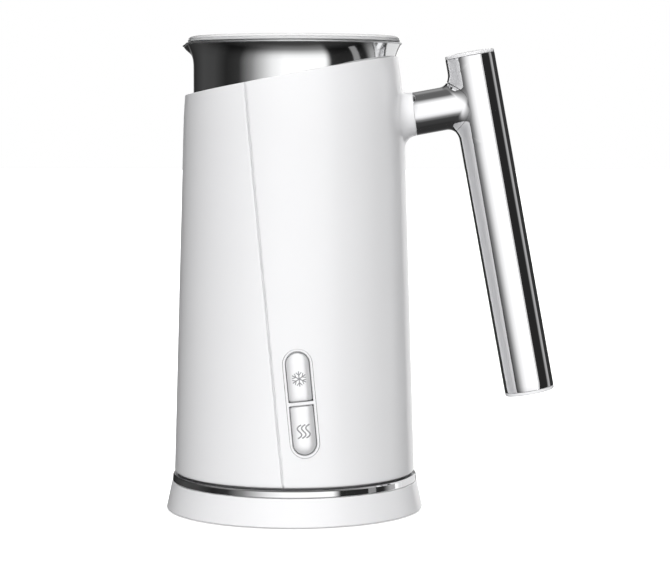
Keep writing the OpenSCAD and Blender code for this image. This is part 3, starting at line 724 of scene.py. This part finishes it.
def neck_end(angle):
    """Where the neck meets the white flare, in a joint that leans a little."""
    return NECK_FROM + NECK_END_LEAN * NECK_R * math.sin(angle)


def root_edge(angle, inset=0.0):
    """Where the flare that carries the handle meets the body, as (y, q): it is narrower on top."""
    spread, narrower = 3.3, 1.3
    return polar(NECK_R + spread - narrower * math.sin(angle) - inset, angle)


def root_ring(angle):
    """The flare's points from the body out to the neck's end."""
    roll, pull, steps = 0.25, 0.55, 12
    landing = on_body(*root_edge(angle))
    inward = (on_body(*root_edge(angle, 0.2)) - landing).normalized()
    stub = neck_point(NECK_R, angle, neck_end(angle) - roll)
    leave = landing + inward * (pull * (math.hypot(*root_edge(angle)) - NECK_R))
    arrive = stub - ALONG_NECK * (pull * (stub - landing).dot(ALONG_NECK))
    points = [bezier(landing, leave, arrive, stub, k / steps) for k in range(steps + 1)]
    return points + [neck_point(NECK_R - down, angle, neck_end(angle) - back)
                     for back, down in quarter_round(roll, 3)]


def cut_window(shell, rows, hole, height, width, length):
    """Rings from a block's edge to the capsule window at one height over the surface."""
    loop = rect_loop(rows, hole)
    starts = [panel_uv(shell.verts[v]) for v in loop]
    ends = [to_capsule(u, v, width, length) for u, v in starts]
    rings, steps = [loop], 4
    for k in range(1, steps + 1):
        rings.append(shell.row([on_panel(*mix_pair(a, b, k / steps), height)
                                for a, b in zip(starts, ends)]))
    shell.loft(rings)
    return rings[-1]


def handle_side_shell():
    """Built once to find the cells that the panel and the root take, then without them."""
    columns, play, margin = 150, 0.03, 1.0
    scout, outer, _ = body_half(1, columns)

    def near_panel(k):
        u, v = panel_uv(scout.verts[k])
        in_front = scout.verts[k][1] < 0
        return in_front and abs(u) < BEZEL_W / 2 + margin and abs(v) < BEZEL_LEN / 2 + margin

    def near_root(k):
        away = Vector(scout.verts[k]) - GRIP_AT
        beside, below, above = NECK_R + 5.2, -NECK_R - 7, NECK_R + 5
        at_handle = scout.verts[k][0] > 0
        return at_handle and abs(away.y) < beside and below < away.dot(UP_GRIP) < above

    window = hole_for(outer, near_panel)
    root = hole_for(outer, near_root)
    shell, outer, inner = body_half(1, columns, holes=(window, root), inner_holes=(window,))
    front = cut_window(shell, outer, window, 0.0, BEZEL_W + play, BEZEL_LEN + play)
    behind = cut_window(shell, inner, window, -WALL, BEZEL_W + play, BEZEL_LEN + play)
    shell.bridge(front, behind)
    loop = rect_loop(outer, root)
    starts = []
    for v in loop:
        away = Vector(shell.verts[v]) - GRIP_AT
        starts.append((away.y, away.dot(UP_GRIP)))
    angles = [math.atan2(q, y) for y, q in starts]
    rings, steps = [loop], 5
    for k in range(1, steps):
        rings.append(shell.row([on_body(*mix_pair(a, root_edge(angle), k / steps))
                                for a, angle in zip(starts, angles)]))
    rings += [shell.row(ring) for ring in zip(*(root_ring(a) for a in angles))]
    shell.loft(rings)
    shell.cap(rings[-1], GRIP_AT + ALONG_NECK * NECK_FROM)
    return shell


piece("shell_spout_side", body_half(-1, 132)[0], "white_plastic", "jug", ["housing_spout_side"], sharp=50,
      weighted=False)
handle_side_piece = piece("shell_handle_side", handle_side_shell(), "white_plastic", "jug",
                          ["housing_handle_side"], sharp=50, weighted=False)

# --- Steel jug ---


def beak_shift(x, y, z):
    """The pressed beak: the rim's wall opposite the handle is drawn out and dips a little."""
    half_width, start_z, height = 8.5, 193.5, 5.5
    out, dip = 1.6, 0.9
    across = max(0.0, 1 - abs(y) / half_width)
    if x > 0 or across == 0:
        return x, y, z
    rise = ease((z - start_z) / height)
    return x - out * ease(across) * across * rise, y, z - dip * ease(across) * rise


def steel_jug():
    corner, corner_steps, side_steps, flare_steps = 4.0, 8, 12, 18
    under_roll = JUG_RIM - 0.72

    def bottom_corner(radius, low):
        """The quarter circle between the floor and the side, from the floor up."""
        return [(JUG_R - corner + radius - back, low + down)
                for back, down in quarter_round(radius, corner_steps, 0)]

    def side(r):
        return [(r, mix(JUG_LOW.z + corner, FLARE_Z, k / side_steps)) for k in range(1, side_steps)]

    flare = [FLARE_Z + (under_roll - FLARE_Z) * k / flare_steps for k in range(flare_steps + 1)]
    outside = [(0.0, JUG_LOW.z)] + bottom_corner(corner, JUG_LOW.z) + side(JUG_R)
    outside += [(jug_r_at(z), z) for z in flare]
    rim_r = jug_r_at(JUG_RIM)
    rim = [(rim_r - 0.12, JUG_RIM - 0.66), (rim_r, JUG_RIM - 0.5), (rim_r, JUG_RIM - 0.18),
           (rim_r - 0.06, JUG_RIM - 0.04), (rim_r - 0.18, JUG_RIM), (rim_r - SHEET + 0.1, JUG_RIM),
           (rim_r - SHEET, JUG_RIM - 0.12)]
    floor_z = JUG_LOW.z + SHEET
    inside = [(jug_r_at(z) - SHEET, z) for z in reversed(flare)] + side(JUG_R - SHEET)[::-1]
    inside += bottom_corner(corner - SHEET, floor_z)[::-1] + [(20.0, floor_z), (0.0, floor_z)]
    shell = lathed(outside + rim + inside, 288)
    shell.verts = [beak_shift(*v) for v in shell.verts]
    return piece("steel_jug", shell, "jug_steel", "jug", ["milk_jug"])


jug_piece = steel_jug()

# --- Power base ---


def power_base():
    foot_r, foot_z, deck = COVER_HIGH.x, COVER_LOW.z, COVER_HIGH.z
    ledge, top_r, inner_r, hole_r = RING_LOW.z, 52.8, 50.1, 18.9
    under = deck - WALL
    cover = lathed(rounded([
        (foot_r - WALL, foot_z, 0.3), (foot_r, foot_z, 0.5), (top_r, ledge, 0.3), (inner_r, ledge, 0.05),
        (inner_r, deck, 0.25), (hole_r, deck, 0.4), (hole_r, under, 0.2), (inner_r - WALL, under, 0.3),
        (inner_r - WALL, ledge - WALL, 0.3), (50.9, ledge - WALL, 0.5)]), 256)
    ring_in, ring_out, ring_foot, ring_top = inner_r + 0.02, RING_HIGH.x, ledge + 0.1, RING_HIGH.z
    ring = lathed(rounded([
        (ring_in, ring_foot, 0.1), (ring_out, ring_foot, 0.45), (ring_out - 0.25, ring_top - 0.55, 0.2),
        (ring_out - 0.75, ring_top, 0.35), (ring_in, ring_top, 0.15)]), 288)
    return (piece("base_shell", cover, "white_plastic", "base", ["base_cover"]),
            piece("base_chrome_ring", ring, "chrome", "base", ["base_trim_ring"]))


base_piece, ring_piece = power_base()
card("side_strip", 79, 9, 0.28, [jug_piece, ring_piece])
card("back_card", 143, 44, 0.78, [jug_piece, ring_piece])
card("ring_card", 115.5, 11, 0.8, [ring_piece])
card("edge_card", 158, 26, 1.15, [handle_side_piece, base_piece], mirrored_only=True)

# --- Buttons ---

KEY_W = BEZEL_W - 2 * BEZEL_RIM - 2 * KEY_GAP
KEY_END = BEZEL_LEN / 2 - BEZEL_RIM - KEY_GAP
KEY_START = DIVIDER + KEY_GAP
KEY_PROUD = 0.6
KEY_CORNER = 0.7


def key_half_width(v, inset):
    """Half the width of a key at v, with its outline drawn in by inset."""
    half = KEY_W / 2 - inset
    middle = KEY_END - KEY_W / 2
    if v > middle:
        return math.sqrt(max(0.0, half ** 2 - (v - middle) ** 2))
    corner = max(0.1, KEY_CORNER - inset)
    up = v - KEY_START - inset
    if up < corner:
        return half - corner + math.sqrt(max(0.0, corner ** 2 - (corner - up) ** 2))
    return half


def key_height(u, v):
    """The pillowed top of a key: lower towards its sides, its round end and its straight end."""
    half, side_drop, end_drop, end_reach = KEY_W / 2, 1.15, 0.4, 2.6
    side = math.hypot(u, max(0.0, v - (KEY_END - half))) / half
    end = max(0.0, 1 - (v - KEY_START) / end_reach)
    return KEY_PROUD - side_drop * min(1.0, side) ** 2.4 - end_drop * end ** 2


def key_shell(side):
    """A key above (1) or below (-1) the divider."""
    rows, columns, roll, roll_steps, thick = 40, 22, 0.35, 4, 3.2
    shell = Shell()

    def sheet(inset, height_of):
        low, high = KEY_START + inset, KEY_END - inset - 0.02
        grid = []
        for i in range(rows + 1):
            v = mix(low, high, (1 - math.cos(math.pi * i / rows)) / 2)
            half = max(0.3, key_half_width(v, inset))
            points = []
            for j in range(columns + 1):
                u = half * math.sin(QUARTER * (2 * j / columns - 1))
                points.append(on_panel(side * u, side * v, height_of(u, v)))
            grid.append(shell.row(points))
        return grid

    def lowered(drop):
        return lambda u, v: key_height(u, v) - drop

    top = sheet(roll, key_height)
    back = sheet(0.0, lambda u, v: -thick)
    shell.grid(top)
    shell.grid(back)
    whole = (0, rows, 0, columns)
    rings = [rect_loop(top, whole)]
    for inset, drop in quarter_round(roll, roll_steps):
        rings.append(rect_loop(sheet(inset, lowered(drop)), whole))
    rings.append(rect_loop(back, whole))
    shell.loft(rings)
    return shell


def stroke(shell, points, width):
    """A printed line on a key: a thin closed strip over (u, v) points."""
    lift, sink = 0.025, 0.05
    rings = []
    for i, p in enumerate(points):
        before, after = points[max(0, i - 1)], points[min(len(points) - 1, i + 1)]
        along = (Vector(after) - Vector(before)).normalized()
        across = Vector((-along.y, along.x)) * (width / 2)
        ring = []
        for part, height in ((1, -sink), (1, lift), (-1, lift), (-1, -sink)):
            u, v = p[0] + across.x * part, p[1] + across.y * part
            ring.append(on_panel(u, v, key_height(abs(u), abs(v)) + height))
        rings.append(shell.row(ring))
    shell.loft(rings)
    shell.faces += [rings[0], rings[-1]]


def straight(a, b, steps=6):
    return [mix_pair(a, b, k / steps) for k in range(steps + 1)]


def icon_place(arc, z):
    """The point of the body's front, this far round from its middle, at height z."""
    r = body_r_at(z)
    return *polar(r, arc / r - QUARTER), z


def snowflake():
    """Six arms, each with a pair of twigs."""
    shell = Shell()
    centre = panel_uv(icon_place(4.6, 61.5))
    arm, fork, twig, open_by = 3.15, 1.45, 1.65, math.radians(42)

    def out_from(start, length, angle):
        across, up = polar(length, angle)
        return start[0] + across, start[1] + up

    for k in range(6):
        angle = QUARTER + k * TAU / 6
        joint = out_from(centre, fork, angle)
        stroke(shell, straight(centre, out_from(centre, arm, angle)), 0.42)
        for turn in (-open_by, open_by):
            stroke(shell, straight(joint, out_from(joint, twig, angle + turn), 3), 0.36)
    return shell


def heat_waves():
    """Three S-shaped lines side by side."""
    shell = Shell()
    centre = panel_uv(icon_place(6.5, 39.9))
    tall, swing, hook, pitch, steps = 5.5, 0.8, 0.9, 1.75, 20
    for k in (-1, 0, 1):
        points = []
        for i in range(steps + 1):
            t = i / steps
            bend = swing * math.sin(TAU * t) + hook * (2 * t - 1) ** 5
            points.append((centre[0] + k * pitch + bend, centre[1] + tall * (t - 0.5)))
        stroke(shell, points, 0.56)
    return shell


def bezel():
    """The bright frame: a capsule ring with a bar across it, rounded along every edge."""
    shell = Shell()
    turns, side_steps, flat_steps = 56, 12, 16
    arc_count = 2 * side_steps + turns + 1
    deep, proud = -1.6, 0.22
    inner_w, inner_len = BEZEL_W - 2 * BEZEL_RIM, BEZEL_LEN - 2 * BEZEL_RIM
    # (how far the outline is drawn in, height) up the outside, then (how far the opening is
    # widened, height) down the inside
    outer_edge = [(0.0, deep), (0.0, proud - 0.16), (0.05, proud - 0.06), (0.13, proud - 0.02), (0.3, proud)]
    inner_edge = [(0.34, proud - 0.02), (0.12, proud - 0.14), (0.0, proud - 0.4), (0.0, deep)]

    def half_capsule(width, length, low):
        """Points from the right foot over the round end to the left foot."""
        half, top = width / 2, (length - width) / 2
        points = [(half, mix(low, top, k / side_steps)) for k in range(side_steps)]
        arc = [polar(half, math.pi * k / turns) for k in range(turns + 1)]
        points += [(x, top + y) for x, y in arc]
        return points + [(-half, mix(top, low, k / side_steps)) for k in range(1, side_steps + 1)]

    def closed_loop(width, length, low, inset):
        half = width / 2 - inset
        return (half_capsule(width - 2 * inset, length - 2 * inset, low)
                + [(mix(-half, half, k / flat_steps), low) for k in range(1, flat_steps)])

    for side in (1, -1):
        rings = []
        for inset, height in outer_edge:
            mid_bar = deep if height == deep else proud - 0.02
            rings.append([on_panel(u, side * v, height if k < arc_count else mid_bar)
                          for k, (u, v) in enumerate(closed_loop(BEZEL_W, BEZEL_LEN, 0.0, inset))])
        for outset, height in inner_edge:
            points = []
            for k, (u, v) in enumerate(closed_loop(inner_w, inner_len, DIVIDER, -outset)):
                over_bar = k < arc_count and v > DIVIDER
                points.append(on_panel(u, side * (v if over_bar else DIVIDER - outset), height))
            rings.append(points)
        rows = [shell.row(points) for points in rings]
        last = len(outer_edge) - 1
        shell.loft([row[:arc_count] for row in rows[:last + 1]], closed=False)
        shell.loft(rows[last:])
        shell.bridge(rows[0], rows[-1])
    return shell


piece("button_frame", bezel(), "bezel_silver", "jug", ["button_bezel"])
piece("cold_key", key_shell(1), "button_plastic", "cold_key", ["cold_button"], weighted=False)
piece("heat_key", key_shell(-1), "button_plastic", "heat_key", ["heat_button"], weighted=False)
piece("cold_icon", snowflake(), "icon_print", "cold_key", weighted=False)
piece("heat_icon", heat_waves(), "icon_print", "heat_key", weighted=False)

# --- Handle ---


def fillet(angle):
    """The neck's blend into the grip at one angle round the neck: its four Bezier points."""
    sine, cosine = math.sin(angle), math.cos(angle)
    reach, lead, pull = 0.55 + 5.0 * abs(sine) ** 1.6, 1.0 + 3.8 * abs(sine), 0.55
    start = neck_point(NECK_R, angle, -math.sqrt(GRIP_R ** 2 - (NECK_R * cosine) ** 2) - lead)
    y = (NECK_R + reach) * cosine
    depth = math.sqrt(GRIP_R ** 2 - y ** 2)
    end = neck_point(NECK_R + reach, angle, -depth)
    out = (ACROSS * cosine + UP_GRIP * sine + ALONG_NECK * (y / depth * cosine)).normalized()
    return start, start + ALONG_NECK * (pull * (lead + 1.2)), end - out * (pull * reach), end


def crease(angle, side):
    """Where along the blend the neck ends (-1) and the grip's collar begins (1), wider on top."""
    sine = math.sin(angle)
    middle = mix(0.72, 0.5, abs(sine) ** 1.5)
    return middle + side * (0.01 + 0.035 * max(0.0, sine) ** 4)


def radial(p):
    """The unit direction from the neck's axis to a point."""
    away = p - GRIP_AT
    return (away - ALONG_NECK * away.dot(ALONG_NECK)).normalized()


def tucked(edge, inward, ahead):
    """An edge of the crease moved towards the neck's axis and along it."""
    return [p - radial(p) * inward + ALONG_NECK * ahead for p in edge]


def neck():
    steps, roll_steps, tube_steps, blend_steps = 208, 3, 8, 18
    roll, gap = 0.06, 0.05
    angles = [TAU * i / steps for i in range(steps)]
    blends = [fillet(a) for a in angles]
    rings = []
    for back, down in quarter_round(roll, roll_steps, 0):
        rings.append([neck_point(NECK_R - back, a, neck_end(a) + gap + down) for a in angles])
    tube = rings[-1]
    for k in range(1, tube_steps + 1):
        rings.append([mix(p, blend[0], k / tube_steps) for p, blend in zip(tube, blends)])
    for k in range(1, blend_steps + 1):
        rings.append([bezier(*blend, crease(a, -1) * k / blend_steps) for a, blend in zip(angles, blends)])
    edge = rings[-1]
    rings += [tucked(edge, inward, ahead) for inward, ahead in ((0.12, 0.04), (0.5, 0.08), (2.5, 0.1))]
    shell = Shell()
    rows = [shell.row(ring) for ring in rings]
    shell.loft(rows)
    shell.cap(rows[0], GRIP_AT + ALONG_NECK * (NECK_FROM + gap))
    shell.cap(rows[-1], GRIP_AT - ALONG_NECK * 9.0)
    piece("chrome_neck", shell, "chrome", "jug", ["handle_neck"], weighted=False)


def grip_point(turn, q, radius=GRIP_R):
    """A point of the grip; turn is measured from the side that faces the body."""
    back, y = polar(radius, turn)
    return GRIP_AT - ALONG_NECK * back + ACROSS * y + UP_GRIP * q


def grip_place(p):
    """The turn and the height along the grip of a point on it."""
    away = p - GRIP_AT
    return math.atan2(away.y, -away.dot(ALONG_NECK)), away.dot(UP_GRIP)


def grip():
    columns, low_rows, hole_rows, steps, blend_steps = 144, 40, 46, 6, 18
    hole_half, roll, bore_r = 17.25, 0.2, GRIP_R - 1.2
    shell = Shell()
    levels = [mix(GRIP_FOOT, -hole_half, k / low_rows) for k in range(low_rows)]
    levels += [mix(-hole_half, hole_half, k / hole_rows) for k in range(hole_rows + 1)]
    levels[0] += roll
    levels.append(GRIP_TOP - roll)
    turns = [TAU * k / columns - math.pi for k in range(columns)]
    rows = [shell.row([grip_point(a, q) for a in turns]) for q in levels]
    inside = [j for j, a in enumerate(turns) if abs(a) < math.radians(84)]
    hole = (low_rows, low_rows + hole_rows, inside[0], inside[-1])
    shell.grid(rows, closed=True, holes=(hole,))
    loop = rect_loop(rows, hole)
    starts = [grip_place(Vector(shell.verts[v])) for v in loop]
    angles = [math.atan2(q, GRIP_R * math.sin(turn)) for turn, q in starts]
    blends = [fillet(a) for a in angles]
    ends = [grip_place(blend[3]) for blend in blends]
    rings = [loop]
    for k in range(1, steps):
        rings.append(shell.row([grip_point(*mix_pair(a, b, k / steps)) for a, b in zip(starts, ends)]))
    for k in range(blend_steps + 1):
        rings.append(shell.row([bezier(*blend, mix(1.0, crease(a, 1), k / blend_steps))
                                for a, blend in zip(angles, blends)]))
    edge = [Vector(shell.verts[v]) for v in rings[-1]]
    rings += [shell.row(tucked(edge, inward, 0.1)) for inward in (0.12, 0.5, 2.5)]
    shell.loft(rings)
    shell.cap(rings[-1], GRIP_AT - ALONG_NECK * 8.5)

    def end_rings(q_end, way):
        rims = [(q_end - way * back, GRIP_R - down) for back, down in quarter_round(roll, 3)]
        rims.append((q_end, bore_r))
        return [shell.row([grip_point(a, q, radius) for a in turns]) for q, radius in rims]

    top_rings = end_rings(GRIP_TOP, 1)
    foot_rings = end_rings(GRIP_FOOT, -1)
    shell.loft([rows[-1]] + top_rings)
    shell.loft([rows[0]] + foot_rings)
    shell.bridge(top_rings[-1], foot_rings[-1])
    return piece("chrome_grip", shell, "chrome", "jug", ["handle_grip"], weighted=False)


def grip_cap(name, node, base, way):
    """The cap at one end of the grip: way is 1 for the upper one and -1 for the lower one."""
    gap, plug_r, plug_end, rim = 0.06, GRIP_R - 1.3, -5.0, GRIP_R - 0.05
    outline = rounded([
        (0.0, CAP_T, 0), (rim * 0.55, CAP_T - 0.08, 2.0), (rim, CAP_T - 0.5, 0.45), (rim, gap, 0.15),
        (plug_r, gap, 0), (plug_r, plug_end, 0.3), (0.0, plug_end, 0)], 6)

    def place(p):
        return GRIP_AT + ALONG_NECK * p.x + ACROSS * p.y + UP_GRIP * (base + way * p.z)

    piece(name, lathed(outline, 144, place), "white_plastic", "jug", [node])


neck()
card("grip_strip", 47, 13, 0.75, [grip()])
grip_cap("grip_end_top", "grip_cap_top", GRIP_TOP, 1)
grip_cap("grip_end_bottom", "grip_cap_bottom", GRIP_FOOT, -1)

# --- Lid ---


SKIRT_R = 41.4


def lid():
    r, top, skirt_z, skirt_in = LID_HIGH.x, LID_HIGH.z, LID_LOW.z, 39.8
    under, groove_r = JUG_RIM + 0.4, LID_HIGH.x - 0.42
    well_r, well_z, sheet = 16.0, top - 6.3, 1.6
    plate = lathed(rounded([
        (0.0, well_z - sheet, 0), (well_r + sheet, well_z - sheet, 0.8), (well_r + sheet, under, 0.5),
        (skirt_in, under, 0.4), (skirt_in, skirt_z, 0.4), (SKIRT_R, skirt_z, 0.4), (SKIRT_R, under, 0.3),
        (r, under, 0.2), (r, under + 0.75, 0.15), (groove_r, under + 0.95, 0.08),
        (groove_r, under + 1.15, 0.08), (r - 0.2, under + 1.35, 0.12), (r - 1.0, top - 0.25, 0.3),
        (r - 1.9, top, 0.4), (well_r + 0.3, top, 0.9), (well_r, well_z, 1.2), (0.0, well_z, 0)], 6), 288)
    bar = Shell()
    half, tall, length, steps = 3.5, top - 0.3, well_r + 1.2, 24
    section = rounded([(-half - 0.6, well_z - 0.8, 0), (half + 0.6, well_z - 0.8, 0),
                       (half - 0.1, tall, 1.3), (-half + 0.1, tall, 1.3)], 6)
    rings = []
    for k in range(steps + 1):
        x = mix(-length, length, k / steps)
        waist = 1 - 0.12 * math.cos(math.pi * x / (2 * length)) ** 2
        rings.append(bar.row([(x, y * waist, z) for y, z in section]))
    bar.loft(rings)
    bar.faces += [rings[0], rings[-1]]
    piece("jug_lid", united("jug_lid", [plate, bar], 40), "lid_plastic", "lid", ["lid"])


def lid_seal():
    """A band round the lid's skirt with three lips."""
    low, high = box_mm("lid_seal")
    inner, lips = SKIRT_R + 0.02, 3
    outline = [(inner, low.z, 0.1)]
    for k in range(lips):
        z = mix(low.z, high.z, (k + 0.5) / lips)
        outline += [(inner + 0.2, z - 0.42, 0.08), (high.x, z, 0.1), (inner + 0.2, z + 0.42, 0.08)]
    outline.append((inner, high.z, 0.1))
    piece("lid_lip_seal", lathed(rounded(outline, 3), 256), "silicone", "lid", ["lid_seal"])


lid()
lid_seal()

# --- Whisk ---


def whisk_spring():
    """A wire wound into a long spring that is bent into a ring."""
    middle_z = (COIL_LOW.z + COIL_HIGH.z) / 2
    tube = (COIL_HIGH.z - COIL_LOW.z) / 2
    ring_r, wire = COIL_HIGH.x - tube, 0.42
    turns, per_turn, sides = 46, 18, 8
    wind_r = tube - wire
    count = turns * per_turn

    def centre(k):
        around, wind = TAU * k / count, TAU * turns * k / count
        out, up = polar(wind_r, wind)
        return Vector((*polar(ring_r + out, around), middle_z + up))

    section = [polar(wire, TAU * i / sides) for i in range(sides)]
    shell = Shell()
    rings = []
    for k in range(count):
        core = Vector((*polar(ring_r, TAU * k / count), middle_z))
        at, along = centre(k), (centre(k + 1) - centre(k - 1)).normalized()
        out = (at - core).normalized()
        out = (out - along * out.dot(along)).normalized()
        side = along.cross(out)
        rings.append(shell.row([at + out * x + side * y for x, y in section]))
    shell.loft(rings + rings[:1])
    piece("whisk_spring", shell, "jug_steel", "whisk", ["whisk_coil"], sharp=80, weighted=False)


whisk_spring()

# --- Carried-over CAD nodes ---

BEVELS = {"power_board": 0.1, "control_board": 0.1, "base_plate": 0.3, "jug_bottom_cover": 0.25,
          "whisk_hub": 0.5, "base_connector": 0.4, "jug_connector": 0.3, "base_foot_ring": 0.4}
OWN_FINISH = {"heater_leads": "white_wire", "motor_leads": "red_wire", "ribbon_cable": "white_wire",
              "terminal_block": "green_plastic", "power_capacitor": "film_blue",
              "power_transformer": "winding_tape", "jug_gasket": "foot_rubber",
              "jug_bottom_cover": "grey_plastic", "key_switches": "dark_plastic"}


def dress_cad_nodes():
    """The CAD nodes that still show get softened edges and their slot's finish."""
    slots = {row["node"]: row["material_slot"] for row in frame["record"]["subparts"]}
    for name, obj in frame["nodes"].items():
        if obj.hide_render:
            continue
        obj.data.materials.clear()
        obj.data.materials.append(MATERIALS[OWN_FINISH.get(name, slots[name])])
        weld = obj.modifiers.new("weld", "WELD")
        weld.merge_threshold = 0.00001
        bevel = obj.modifiers.new("bevel", "BEVEL")
        bevel.width = BEVELS.get(name, 0.15) * MM
        bevel.segments = 2
        bevel.limit_method = "ANGLE"
        bevel.angle_limit = math.radians(40)
        bevel.harden_normals = True


dress_cad_nodes()
